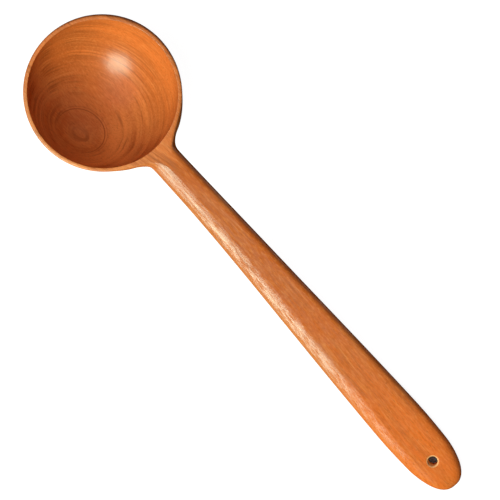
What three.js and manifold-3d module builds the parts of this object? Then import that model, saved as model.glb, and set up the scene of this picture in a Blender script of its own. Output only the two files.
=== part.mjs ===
// A kitchen ladle carved from one piece of wood: a thin half-ball bowl whose rim runs into a long,
// widening handle with a hanging hole near its tip.
// Millimetres, +Z up. The ladle lies at rest on the surface z = 0, on its bowl and the heel of its handle,
// with the handle towards +X and the origin under the middle of its outer box.

import * as THREE from 'three';
import { mergeVertices } from 'three/addons/utils/BufferGeometryUtils.js';
import Module from 'manifold-3d';

const DEGREES = Math.PI / 180;
const QUARTER_TURN = Math.PI / 2;

// Bowl
const bowlRadius = 43; // outside, at the rim
const rimWall = 2.2; // across the lip
const baseWall = 4.5; // at the deepest point
const rimEase = 1; // rounding of the lip's outer edge
const lipEase = 0.4; // rounding of the lip's inner edge

// Handle, whose flat top face starts level with the rim
const handleReach = 285; // bowl's axis to the tip, along the rim's plane
const neckWidth = 17.4;
const neckDepth = 13;
const gripWidth = 29;
const gripDepth = 10;
const tipLength = 39; // from the widest place of the grip to the tip
const tipFullness = 2.5; // 2 is an ellipse, more is squarer
const bellyFullness = 2.3; // the same, for the underside of a section
const shoulderWidth = 5.8; // rounding between the top face and the sides
const shoulderHeight = 4.6;
const heelLength = 12; // rounding of the underside at the tip
const riseAngle = 9 * DEGREES; // slope of the grip above the rim's plane
const bendRadius = 450; // of the top face, where the neck turns up into the grip

// Neck, where the handle grows out of the bowl in a web that starts on the rim and under it
const neckStart = 52; // bowl's axis to the end of the web
const neckLength = 14; // of even width, from the end of the web
const webTurn = 48 * DEGREES; // start of the web round the rim, from the handle's middle
const webDip = 38 * DEGREES; // start of the web down the bowl's wall, under the handle
const sidePull = { bowl: 0.56, handle: 0.2 }; // how long the web's sides follow the bowl and the handle
const underPull = { bowl: 0.37, handle: 0.37 }; // the same, for its underside

// Hanging hole, square to the grip's top face
const holeDiameter = 5.4;
const holeEase = 1; // rounding of its two edges
const holeSetback = 18.3; // from the tip

// Fineness of the faceted surfaces, and how far a cutting tool or a root runs past what it meets
const turnSegments = 64;
const ballSteps = 14;
const easeSteps = 4;
const holeSegments = 28;
const flatSteps = 3;
const shoulderSteps = 5;
const bellySteps = 8;
const webSteps = 10;
const bendSteps = 6;
const gripSteps = 14;
const tipSteps = 12;
const overrun = 5;
const seatProud = 0.06; // the web's edge over the bowl's facets

const wood = new THREE.MeshStandardMaterial({ color: 0xc9713a, roughness: 0.45, metalness: 0 });

const wasm = await Module();
wasm.setup();

// Points of an arc of an upright ellipse, from one angle to another.
function arc(centreX, centreY, radiusX, radiusY, from, to, steps) {
  const clockwise = to < from;
  return new THREE.EllipseCurve(centreX, centreY, radiusX, radiusY, from, to, clockwise).getPoints(steps);
}

// A solid of revolution about the Z axis, from a profile of (radius, height) points that runs upwards.
function revolve(profile, segments) {
  return new THREE.LatheGeometry(profile, segments).rotateX(QUARTER_TURN);
}

// A solid through rings of equally many points, closed by a fan to a point at either end.
function loft(rings, startPoint, endPoint) {
  const count = rings[0].length;
  const positions = [startPoint, ...rings.flat(), endPoint].flatMap((point) => point.toArray());
  const last = rings.length * count + 1;
  const faces = [];
  for (let i = 0; i < count; i += 1) {
    const next = (i + 1) % count;
    faces.push(0, 1 + i, 1 + next);
    for (let ring = 0; ring < rings.length - 1; ring += 1) {
      const near = 1 + ring * count;
      const far = near + count;
      faces.push(near + i, far + i, far + next, near + i, far + next, near + next);
    }
    faces.push(last, last - count + next, last - count + i);
  }
  const geometry = new THREE.BufferGeometry();
  geometry.setAttribute('position', new THREE.Float32BufferAttribute(positions, 3));
  geometry.setIndex(faces);
  return geometry;
}

function toSolid(geometry) {
  const bare = geometry.clone();
  bare.deleteAttribute('normal');
  bare.deleteAttribute('uv');
  const merged = mergeVertices(bare, 1e-5);
  return new wasm.Manifold(new wasm.Mesh({
    numProp: 3,
    vertProperties: new Float32Array(merged.attributes.position.array),
    triVerts: new Uint32Array(merged.index.array),
  }));
}

function toGeometry(solid) {
  const mesh = solid.getMesh();
  const geometry = new THREE.BufferGeometry();
  geometry.setAttribute('position', new THREE.Float32BufferAttribute(mesh.vertProperties, 3));
  geometry.setIndex(new THREE.Uint32BufferAttribute(mesh.triVerts, 1));
  return geometry;
}

// Bowl: a half ball with its flat side up, and the hollow that is turned out of it.
function bowlBlank() {
  const easeAngle = Math.asin(rimEase / bowlRadius);
  const wallRadius = bowlRadius * Math.cos(easeAngle);
  return revolve([
    ...arc(0, 0, bowlRadius, bowlRadius, -QUARTER_TURN, -easeAngle, ballSteps),
    ...arc(wallRadius - rimEase, -rimEase, rimEase, rimEase, 0, QUARTER_TURN, easeSteps).slice(1),
    new THREE.Vector2(0, 0),
  ], turnSegments);
}

function bowlHollow() {
  const hollowRadius = bowlRadius - rimWall;
  const hollowDepth = bowlRadius - baseWall - lipEase;
  const lipTop = 100 * DEGREES; // just short of level, so that the tool crosses the lip
  const lip = arc(hollowRadius + lipEase, -lipEase, lipEase, lipEase, Math.PI, lipTop, easeSteps);
  return revolve([
    ...arc(0, -lipEase, hollowRadius, hollowDepth, -QUARTER_TURN, 0, ballSteps),
    ...lip.slice(1),
    new THREE.Vector2(lip.at(-1).x, overrun),
    new THREE.Vector2(0, overrun),
  ], turnSegments);
}

// Handle sections: across is measured from the middle, and up from the level of the widest place.

// A point of the belly of a section, from its side at no angle to its lowest line at a quarter turn.
function bellyPoint(halfWidth, drop, angle) {
  const power = 2 / bellyFullness;
  const across = halfWidth * Math.max(0, Math.cos(angle)) ** power;
  const up = -drop * Math.sin(angle) ** power;
  return { across, up };
}

const bellyAngles = Array.from({ length: bellySteps + 1 }, (_, i) => i / bellySteps * QUARTER_TURN);

// One side of a section, from the middle of its top face round to the middle of its belly.
function halfSection({ halfWidth, rise, drop }) {
  const shoulder = Math.min(shoulderWidth, halfWidth);
  const flat = halfWidth - shoulder;
  const half = [];
  for (let i = 0; i < flatSteps; i += 1) {
    half.push({ across: flat * i / flatSteps, up: rise });
  }
  for (let i = 0; i < shoulderSteps; i += 1) {
    const angle = (1 - i / shoulderSteps) * QUARTER_TURN;
    half.push({ across: flat + shoulder * Math.cos(angle), up: rise * Math.sin(angle) });
  }
  for (const angle of bellyAngles) {
    half.push(bellyPoint(halfWidth, drop, angle));
  }
  return half;
}

// A whole ring from the points of its +Y side, whose first and last lie on the middle plane.
function mirrored(side) {
  const others = side.slice(1, -1).reverse();
  return [...side, ...others.map((point) => new THREE.Vector3(point.x, -point.y, point.z))];
}

// Neck: the web that runs from the bowl's wall into the first section of the handle.

// The line of the web that ends at one point of the neck's belly, smooth with the bowl and the handle.
function webLine(angle) {
  const under = Math.sin(angle);
  const turn = webTurn * Math.cos(angle);
  const dip = THREE.MathUtils.lerp(Math.asin(rimEase / bowlRadius), webDip, under);
  const level = Math.cos(dip);
  const outward = new THREE.Vector3(level * Math.cos(turn), level * Math.sin(turn), -Math.sin(dip));
  const { across, up } = bellyPoint(neckWidth / 2, neckDepth - shoulderHeight, angle);
  const start = outward.clone().multiplyScalar(bowlRadius + seatProud);
  const end = new THREE.Vector3(neckStart, across, up - shoulderHeight);
  const span = start.distanceTo(end);
  const alongBowl = end.clone().sub(start).projectOnPlane(outward).normalize();
  const bowlPull = span * THREE.MathUtils.lerp(sidePull.bowl, underPull.bowl, under ** 2);
  const handlePull = span * THREE.MathUtils.lerp(sidePull.handle, underPull.handle, under ** 2);
  return new THREE.CubicBezierCurve3(
    start,
    start.clone().addScaledVector(alongBowl, bowlPull),
    end.clone().setX(neckStart - handlePull),
    end,
  );
}

// One ring of the neck, at a share of the way from the bowl to the handle.
function neckRing(lines, share) {
  const belly = lines.map((line) => line.getPoint(share));
  const side = belly[0];
  const along = lines[0].getTangent(share).setZ(0).normalize();
  const inward = new THREE.Vector3(along.y, -along.x, 0);
  const rounding = THREE.MathUtils.lerp(rimEase, shoulderWidth, share);
  const edge = Array.from({ length: shoulderSteps }, (_, i) => {
    const angle = (1 - i / shoulderSteps) * QUARTER_TURN;
    const inset = rounding * (1 - Math.cos(angle));
    return side.clone().addScaledVector(inward, inset).setZ(side.z * (1 - Math.sin(angle)));
  });
  const top = Array.from({ length: flatSteps }, (_, i) => edge[0].clone().setY(edge[0].y * i / flatSteps));
  return mirrored([...top, ...edge, ...belly]);
}

// Spine: the middle line of the top face, level at the neck, turning up and then straight to the tip.
function makeSpine() {
  const bendLength = bendRadius * riseAngle;
  const bendEnd = neckStart + bendRadius * Math.sin(riseAngle);
  const length = bendLength + (handleReach - bendEnd) / Math.cos(riseAngle);
  const at = (distance) => {
    const slope = Math.min(distance / bendRadius, riseAngle);
    const straight = Math.max(0, distance - bendLength);
    return {
      slope,
      x: neckStart + bendRadius * Math.sin(slope) + straight * Math.cos(riseAngle),
      z: bendRadius * (1 - Math.cos(slope)) + straight * Math.sin(riseAngle),
    };
  };
  return { bendLength, length, at };
}

// The size of the section at a distance along the spine.
function sectionSize(spine, distance) {
  const widest = spine.length - tipLength;
  const grown = THREE.MathUtils.smoothstep(distance, neckLength, widest);
  const tip = Math.max(0, distance - widest) / tipLength;
  const edge = Math.max(0, 1 - (spine.length - distance) / shoulderWidth);
  const heel = Math.max(0, 1 - (spine.length - distance) / heelLength);
  const width = THREE.MathUtils.lerp(neckWidth, gripWidth, grown);
  const depth = THREE.MathUtils.lerp(neckDepth, gripDepth, grown);
  return {
    halfWidth: width / 2 * (1 - tip ** tipFullness) ** (1 / tipFullness),
    rise: shoulderHeight * Math.sqrt(1 - edge ** 2),
    drop: (depth - shoulderHeight) * Math.sqrt(1 - heel ** 2),
  };
}

// A point of the section at a place on the spine.
function onSpine({ x, z, slope }, across, up) {
  const below = up - shoulderHeight;
  return new THREE.Vector3(x - below * Math.sin(slope), across, z + below * Math.cos(slope));
}

function handleRing(spine, distance) {
  const place = spine.at(distance);
  const half = halfSection(sectionSize(spine, distance));
  return mirrored(half.map(({ across, up }) => onSpine(place, across, up)));
}

// Distances of the handle's rings: even through the bend and the grip, closing up towards the tip.
function ringDistances(spine) {
  const widest = spine.length - tipLength;
  const even = (from, to, steps) => Array.from({ length: steps }, (_, i) => from + (to - from) * i / steps);
  const tip = even(0, QUARTER_TURN, tipSteps).map((angle) => widest + tipLength * Math.sin(angle));
  return [
    ...even(0, spine.bendLength, bendSteps),
    ...even(spine.bendLength, widest, gripSteps),
    ...tip,
  ];
}

const handleSpine = makeSpine();

function handleBlank() {
  const webLines = bellyAngles.map(webLine);
  const neck = Array.from({ length: webSteps }, (_, i) => neckRing(webLines, i / webSteps));
  const inside = 1 - overrun / bowlRadius;
  const root = neck[0].map((point) => point.clone().setZ(point.z - overrun).multiplyScalar(inside));
  const rootCentre = new THREE.Vector3(root[0].x, 0, -neckDepth);
  const grip = ringDistances(handleSpine).map((distance) => handleRing(handleSpine, distance));
  const tip = onSpine(handleSpine.at(handleSpine.length), 0, 0);
  return loft([root, ...neck, ...grip], rootCentre, tip);
}

// Hanging hole: a drill with an eased mouth above and below, set square to the top face.
function holeDrill() {
  const place = handleSpine.at(handleSpine.length - holeSetback);
  const radius = holeDiameter / 2;
  const mouth = 80 * DEGREES; // just short of level, so that the drill crosses the face
  const middle = radius + holeEase;
  const lowest = holeEase - gripDepth;
  const lower = arc(middle, lowest, holeEase, holeEase, Math.PI + mouth, Math.PI, easeSteps);
  const upper = arc(middle, -holeEase, holeEase, holeEase, Math.PI, Math.PI - mouth, easeSteps);
  return revolve([
    new THREE.Vector2(0, -gripDepth - overrun),
    new THREE.Vector2(lower[0].x, -gripDepth - overrun),
    ...lower,
    ...upper,
    new THREE.Vector2(upper.at(-1).x, overrun),
    new THREE.Vector2(0, overrun),
  ], holeSegments).rotateY(-place.slope).translate(place.x, 0, place.z);
}

// The tilt at which the heel of the handle comes down on the surface that the ball stands on.
function restTilt(handle) {
  const points = handle.attributes.position;
  let tilt = QUARTER_TURN;
  for (let i = 0; i < points.count; i += 1) {
    const reach = Math.hypot(points.getX(i), points.getZ(i));
    if (reach > bowlRadius) {
      tilt = Math.min(tilt, Math.atan2(points.getZ(i), points.getX(i)) + Math.asin(bowlRadius / reach));
    }
  }
  return tilt;
}

const handle = handleBlank();
const carved = toSolid(bowlBlank())
  .add(toSolid(handle))
  .subtract(toSolid(bowlHollow()))
  .subtract(toSolid(holeDrill()));

const ladle = new THREE.Mesh(toGeometry(carved), wood);
ladle.name = 'ladle';
ladle.rotation.y = restTilt(handle);

const rest = new THREE.Group();
rest.add(ladle);
const outer = new THREE.Box3().setFromObject(rest, true);
rest.position.set(-(outer.min.x + outer.max.x) / 2, 0, -outer.min.z);

export default rest;
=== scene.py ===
"""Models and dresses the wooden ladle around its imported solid, and sets it on a pale floor.

Metres, +Z up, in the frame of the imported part. The ladle is shaped in its own frame first: the origin
is the middle of the bowl's rim, X runs along the handle and Z is square to the rim. Then it is laid down
as it rests.
"""

import logging
import math
from dataclasses import dataclass, field
from enum import Enum
from functools import partial
from typing import Any, Callable

import bmesh
import bpy
from mathutils import Matrix, Vector


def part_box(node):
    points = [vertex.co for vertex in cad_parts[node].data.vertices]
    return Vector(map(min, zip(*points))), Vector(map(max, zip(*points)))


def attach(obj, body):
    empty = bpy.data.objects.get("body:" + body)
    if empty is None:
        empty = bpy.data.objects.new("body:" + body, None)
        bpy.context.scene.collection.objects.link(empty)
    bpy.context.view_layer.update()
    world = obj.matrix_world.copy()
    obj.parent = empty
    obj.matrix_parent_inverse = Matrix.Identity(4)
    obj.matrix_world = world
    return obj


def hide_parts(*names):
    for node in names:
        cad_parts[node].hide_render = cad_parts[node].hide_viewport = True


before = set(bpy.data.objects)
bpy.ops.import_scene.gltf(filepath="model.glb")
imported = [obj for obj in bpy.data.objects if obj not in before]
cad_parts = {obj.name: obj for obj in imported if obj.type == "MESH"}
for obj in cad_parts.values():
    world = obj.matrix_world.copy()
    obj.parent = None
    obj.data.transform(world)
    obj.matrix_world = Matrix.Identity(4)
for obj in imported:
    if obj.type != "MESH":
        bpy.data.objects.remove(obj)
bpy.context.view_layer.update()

Colour = tuple[float, float, float, float]
Range = tuple[float, float]

LOG = logging.getLogger("ladle")
MM = 0.001
WELD = 0.01 * MM
NOISE_MIDDLE = 0.5
SIXTEENTH_TURN = math.pi / 8
EIGHTH_TURN = math.pi / 4
QUARTER_TURN = math.pi / 2
PHOTO_WIDTH = 500
FACE_ROWS = 7
HALF_COLUMNS = 4
SHOULDER_TURNS = (math.radians(90), math.radians(60), math.radians(30), 0.0)
SIDE_ROW = len(SHOULDER_TURNS) - 1


class Packed(Enum):
    """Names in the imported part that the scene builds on."""

    NODE = "ladle"
    BODY = "root"
    SLOT = "wood"


class Mouth(Enum):
    """The two ends of the hanging hole, as the row of the handle's section that each opens in."""

    UPPER = 0
    LOWER = FACE_ROWS


class Label(Enum):
    """What is written on the points of a blank, so that they are found again."""

    RING = "ring"
    COLUMN = "column"
    STATION = "station"
    TURN = "turn"


def lerp(start: float, end: float, share: float) -> float:
    """The value at a share of the way from start to end."""
    return start + (end - start) * share


def smoothstep(value: float, low: float, high: float) -> float:
    """A smooth rise from 0 at low to 1 at high."""
    share = min(max((value - low) / (high - low), 0.0), 1.0)
    return share * share * (3 - 2 * share)


def bezier(points: list[Vector], share: float) -> Vector:
    """A point of a cubic curve.

    Args:
        points: The four control points.
        share: How far along the curve, from 0 to 1.

    Returns:
        The point at that share.
    """
    rest = 1 - share
    weights = (rest**3, 3 * rest**2 * share, 3 * rest * share**2, share**3)
    return sum((point * weight for point, weight in zip(points, weights)), Vector())


# Modelling


@dataclass
class Blank:
    """The mesh on the bench, kept in edit mode, with labels on its points.

    Attributes:
        piece: The Blender object.
        held: Its edit mesh, held so that its points stay valid between calls.
    """

    piece: bpy.types.Object
    held: bmesh.types.BMesh | None = None

    @classmethod
    def from_circle(cls, name: str, points: int, radius: float, height: float) -> "Blank":
        """Starts a blank from a ring of points.

        Args:
            name: Name of the piece.
            points: How many points the ring has.
            radius: Radius of the ring.
            height: Height of the ring.

        Returns:
            The blank, in edit mode with its ring selected.
        """
        bpy.ops.object.select_all(action="DESELECT")
        bpy.ops.mesh.primitive_circle_add(vertices=points, radius=radius, location=(0, 0, height))
        piece = bpy.context.object
        piece.name = name
        piece.data.name = name
        bpy.ops.object.transform_apply(location=True, rotation=True, scale=True)
        bpy.ops.object.mode_set(mode="EDIT")
        blank = cls(piece)
        for label in Label:
            blank.mesh.verts.layers.int.new(label.value)
        return blank

    @property
    def mesh(self) -> bmesh.types.BMesh:
        """The mesh as it is now."""
        self.held = bmesh.from_edit_mesh(self.piece.data)
        return self.held

    def layer(self, label: Label) -> bmesh.types.BMLayerItem:
        """The layer of whole numbers that holds a label."""
        return self.mesh.verts.layers.int[label.value]

    def update(self) -> None:
        """Shows Blender what was moved or selected."""
        mesh = self.mesh
        mesh.select_flush_mode()
        bmesh.update_edit_mesh(self.piece.data)

    def select_faces(self, wanted: Callable[[bmesh.types.BMFace], bool]) -> None:
        """Selects the faces that pass a test, and nothing else.

        Args:
            wanted: The test.
        """
        bpy.ops.mesh.select_all(action="DESELECT")
        bpy.ops.mesh.select_mode(type="FACE")
        for face in self.mesh.faces:
            face.select = wanted(face)
        self.update()

    def select_edges(self, wanted: Callable[[bmesh.types.BMEdge], bool]) -> None:
        """Selects the edges that pass a test, and nothing else.

        Args:
            wanted: The test.
        """
        bpy.ops.mesh.select_all(action="DESELECT")
        bpy.ops.mesh.select_mode(type="EDGE")
        for edge in self.mesh.edges:
            edge.select = wanted(edge)
        self.update()

    def extrude_ring(self, rise: float, widening: float, height: float) -> None:
        """Draws the selected ring up and opens or closes it.

        Args:
            rise: How far the new ring lies above the old one.
            widening: The new ring's radius as a share of the old one's.
            height: Height of the new ring.
        """
        bpy.ops.mesh.extrude_edges_move(TRANSFORM_OT_translate={"value": (0, 0, rise)})
        bpy.ops.transform.resize(value=(widening, widening, 1), center_override=(0, 0, height))

    def extrude_faces(self) -> list[bmesh.types.BMVert]:
        """Draws out the selected faces and returns their points, to be put in place."""
        bpy.ops.mesh.extrude_region_move()
        return [point for point in self.mesh.verts if point.select]

    def extrude_loop(self) -> list[bmesh.types.BMVert]:
        """Draws out the selected edges and returns their points, to be put in place."""
        bpy.ops.mesh.extrude_edges_move()
        return [point for point in self.mesh.verts if point.select]

    def close(self) -> None:
        """Merges doubles, turns all faces outwards and leaves edit mode."""
        bpy.ops.mesh.select_all(action="SELECT")
        bpy.ops.mesh.remove_doubles(threshold=WELD)
        bpy.ops.mesh.normals_make_consistent(inside=False)
        bpy.ops.object.mode_set(mode="OBJECT")

    def tighten(self, rounds: int) -> None:
        """Moves the cage out until its smooth skin passes through the points that the cage has now.

        Args:
            rounds: How often the cage is moved by what the skin still misses.
        """
        bpy.ops.object.mode_set(mode="OBJECT")
        smooth = self._smooth(1)
        cage = self.piece.data.vertices
        goals = [point.co.copy() for point in cage]
        for _ in range(rounds):
            graph = bpy.context.evaluated_depsgraph_get()
            reached = self.piece.evaluated_get(graph).data.vertices
            misses = [goal - reached[i].co for i, goal in enumerate(goals)]
            for point, miss in zip(cage, misses):
                point.co += miss
            self.piece.data.update()
        self.piece.modifiers.remove(smooth)
        bpy.ops.object.mode_set(mode="EDIT")

    def skin(self, levels: int) -> None:
        """Smooths the cage into its skin.

        Args:
            levels: How often the cage is divided.
        """
        smooth = self._smooth(levels)
        bpy.ops.object.modifier_apply(modifier=smooth.name)
        bpy.ops.object.shade_smooth()

    def _smooth(self, levels: int) -> bpy.types.Modifier:
        """Adds a subdivision.

        Args:
            levels: How often the cage is divided.

        Returns:
            The modifier.
        """
        smooth = self.piece.modifiers.new("Skin", "SUBSURF")
        smooth.levels = levels
        smooth.render_levels = levels
        return smooth


@dataclass(frozen=True)
class Bowl:
    """The thin half ball, hollowed from above, with its flat lip."""

    radius: float = 43 * MM
    rim_wall: float = 2.2 * MM
    base_wall: float = 4.5 * MM
    rim_ease: float = 1.0 * MM
    lip_ease: float = 0.25 * MM
    side_line: float = 1.45 * MM
    columns: int = 64
    outer_dips: tuple[float, ...] = (88.6, 85, 79, 70, 60, 50, 42, 34, 27, 20, 13, 6.5)
    inner_dips: tuple[float, ...] = (3, 8, 14, 21, 28, 35, 43, 52, 61, 70, 79, 85, 88.6)

    @property
    def hollow_radius(self) -> float:
        """Radius of the hollow at the lip."""
        return self.radius - self.rim_wall

    @property
    def hollow_depth(self) -> float:
        """Depth of the hollow below the lip's rounding."""
        return self.radius - self.base_wall - self.lip_ease

    @property
    def column_turn(self) -> float:
        """Angle from one column to the next."""
        return 2 * math.pi / self.columns

    @property
    def lip_ring(self) -> int:
        """Number of the ring at the outer edge of the lip's flat top."""
        return len(self.outer_dips) + SIDE_ROW

    def profile(self) -> list[tuple[float, float]]:
        """The rings from under the bowl, up its wall, over its lip and down into its hollow.

        Returns:
            Radius and height of each ring.
        """
        corner = 1 - math.cos(EIGHTH_TURN)
        rings = []
        for dip in map(math.radians, self.outer_dips):
            rings.append((self.radius * math.cos(dip), -self.radius * math.sin(dip)))
        rings.append((self.radius, -self.side_line))
        for turn in reversed(SHOULDER_TURNS[:SIDE_ROW]):
            inset = self.rim_ease * (1 - math.cos(turn))
            rings.append((self.radius - inset, -self.rim_ease * (1 - math.sin(turn))))
        rings.append((self.hollow_radius + self.lip_ease, 0.0))
        rings.append((self.hollow_radius + corner * self.lip_ease, -corner * self.lip_ease))
        rings.append((self.hollow_radius, -self.lip_ease))
        for dip in map(math.radians, self.inner_dips):
            depth = self.lip_ease + self.hollow_depth * math.sin(dip)
            rings.append((self.hollow_radius * math.cos(dip), -depth))
        return rings

    def turn(self, name: str) -> Blank:
        """Draws the bowl up ring by ring and closes it under the base and inside the hollow.

        Args:
            name: Name of the piece.

        Returns:
            The blank with the bowl's cage, its rings and columns labelled.
        """
        rings = self.profile()
        radius, height = rings[0]
        blank = Blank.from_circle(name, self.columns, radius, height)
        for next_radius, next_height in rings[1:]:
            blank.extrude_ring(next_height - height, next_radius / radius, next_height)
            radius, height = next_radius, next_height
        self._label(blank, rings)
        last = len(rings) - 1
        self._fill(blank, last)
        self._fill(blank, 0)
        return blank

    def _label(self, blank: Blank, rings: list[tuple[float, float]]) -> None:
        """Writes on each point its ring, counted from 1, and its column, counted from the handle's middle.

        Args:
            blank: The blank with all rings drawn.
            rings: Radius and height of each ring.
        """
        ring_label = blank.layer(Label.RING)
        column_label = blank.layer(Label.COLUMN)
        for point in blank.mesh.verts:
            reach = math.hypot(point.co.x, point.co.y)
            misses = [math.hypot(reach - radius, point.co.z - height) for radius, height in rings]
            point[ring_label] = 1 + misses.index(min(misses))
            point[column_label] = round(math.atan2(point.co.y, point.co.x) / self.column_turn)
        blank.update()

    def _fill(self, blank: Blank, ring: int) -> None:
        """Closes a small end ring with one face.

        Args:
            blank: The blank with its rings labelled.
            ring: Number of the ring in the profile.
        """
        label = blank.layer(Label.RING)
        blank.select_edges(lambda edge: all(point[label] == ring + 1 for point in edge.verts))
        bpy.ops.mesh.edge_face_add()


@dataclass(frozen=True)
class Shoulder:
    """The rounding between the handle's flat top and one of its sides.

    Attributes:
        width: How far it reaches in over the top.
        fullness: 2 for a quarter ellipse, less for a flatter bevel.
    """

    width: float
    fullness: float

    def out(self, turn: float) -> float:
        """How far out a point lies, as a share of the width, from 0 at a quarter turn to 1 at none."""
        return max(0.0, math.cos(turn)) ** (2 / self.fullness)

    def up(self, turn: float) -> float:
        """How high a point lies, as a share of the height, from 1 at a quarter turn to 0 at none."""
        return math.sin(turn) ** (2 / self.fullness)

    def eased(self, other: "Shoulder", share: float) -> "Shoulder":
        """The shoulder at a share of the way to another one."""
        return Shoulder(lerp(self.width, other.width, share), lerp(self.fullness, other.fullness, share))


@dataclass(frozen=True)
class Section:
    """One cross-section of the handle: a flat top, a shoulder on each side and a rounded belly."""

    half_width: float
    rise: float
    drop: float
    shoulders: tuple[Shoulder, Shoulder]
    belly_fullness: float
    least_flat: float = 0.08
    shoulder_bulge: float = 1.045
    cage_width: float = 1.022
    cage_depth: float = 1.015
    lowest_corner: float = math.radians(58)
    side_angles: tuple[float, ...] = (0, 0, 0, 0, 16, 32, 46, 58)
    column_shares: tuple[float, ...] = (0, 0.28, 0.567, 0.87, 1)

    def belly(self, angle: float) -> tuple[float, float]:
        """A point of the belly.

        Args:
            angle: From none at the side to a quarter turn at the lowest line.

        Returns:
            Across, measured from the middle, and up, measured from the widest level.
        """
        power = 2 / self.belly_fullness
        across = self.half_width * self.cage_width * math.cos(angle) ** power
        return across, -self.drop * self.cage_depth * math.sin(angle) ** power

    def side(self, row: int, shoulder: Shoulder) -> tuple[float, float]:
        """A point of a side.

        Args:
            row: From 0 at the edge of the flat top to the last row above the belly's lowest line.
            shoulder: The shoulder on that side.

        Returns:
            Across, measured from the middle, and up, measured from the widest level.
        """
        flat = max(self.half_width - shoulder.width, self.least_flat * self.half_width)
        if row == 0:
            return flat, self.rise
        if row < SIDE_ROW:
            turn = SHOULDER_TURNS[row]
            across = flat + (self.half_width - flat) * shoulder.out(turn) * self.shoulder_bulge
            return across, self.rise * shoulder.up(turn) * self.shoulder_bulge
        return self.belly(math.radians(self.side_angles[row]))

    def low_angle(self, column: int) -> float:
        """Angle of a column's point in the lowest row of the belly."""
        return QUARTER_TURN - abs(column) / HALF_COLUMNS * (QUARTER_TURN - self.lowest_corner)

    def shoulder(self, column: int) -> Shoulder:
        """The shoulder on the side of a column."""
        return self.shoulders[column > 0]

    def share(self, column: int) -> float:
        """How far a column of the flat top lies from the middle to the edge, with its side as sign."""
        return math.copysign(self.column_shares[abs(column)], column)

    def point(self, row: int, column: int) -> tuple[float, float]:
        """A point of the section's net.

        Args:
            row: From 0 on the flat top to the last row on the belly.
            column: From the middle, which is 0, to either side.

        Returns:
            Across, measured from the middle, and up, measured from the widest level.
        """
        if row == Mouth.LOWER.value:
            across, up = self.belly(self.low_angle(column))
            return math.copysign(across, column) if column else 0.0, up
        across, up = self.side(row, self.shoulder(column))
        return across * self.share(column), up


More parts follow.
